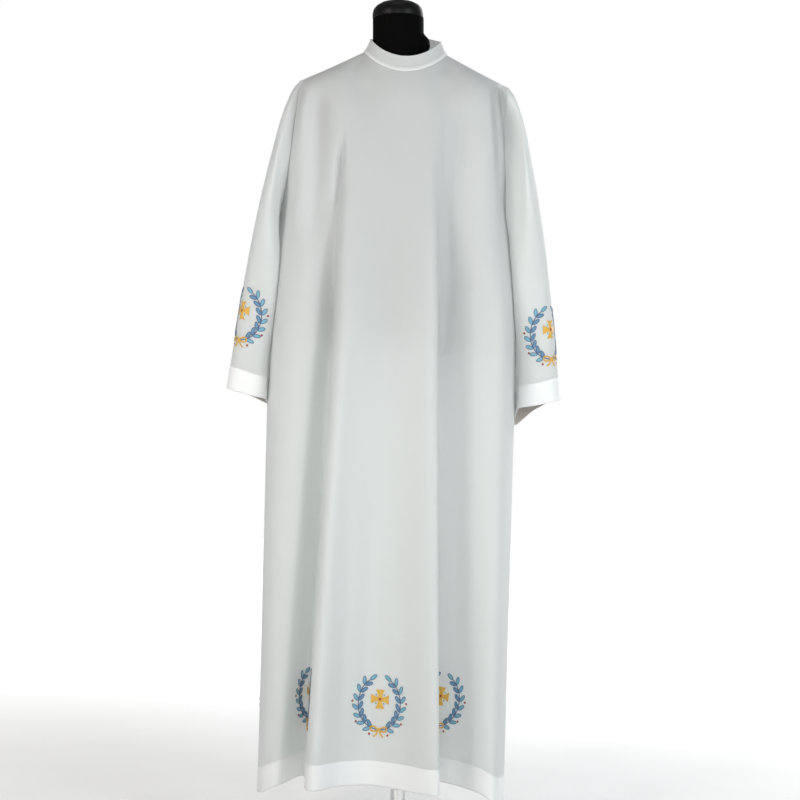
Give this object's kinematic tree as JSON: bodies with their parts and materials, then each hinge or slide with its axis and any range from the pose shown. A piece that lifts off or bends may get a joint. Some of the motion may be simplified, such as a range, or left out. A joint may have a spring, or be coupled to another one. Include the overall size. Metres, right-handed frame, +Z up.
{
  "type": "alb robe on a dress form",
  "caption": "Ankle-length white alb with stand collar and set-in sleeves, worn by a black limbless dress form on a round-footed stand.",
  "frame": {"origin": "on the floor, under the middle of the bounding box", "axes": "+Z up, the front of the robe faces -Y, the wearer's left is +X"},
  "size_m": [0.6656, 0.4599, 1.678],
  "materials": {
    "white_cloth": "fine plain-weave polyester, soft sheen",
    "white_button": "polished",
    "black_form": "satin black",
    "brushed_steel": "brushed"
  },
  "bodies": {
    "root": {"alb_front": "white_cloth", "alb_back_left": "white_cloth", "alb_back_right": "white_cloth", "alb_sleeve_left": "white_cloth", "alb_sleeve_right": "white_cloth", "alb_collar": "white_cloth", "collar_button": "white_button", "form_torso": "black_form", "form_neck_cap": "black_form", "form_knob": "black_form", "stand_pole": "brushed_steel", "stand_foot": "brushed_steel"}
  },
  "joints": []
}
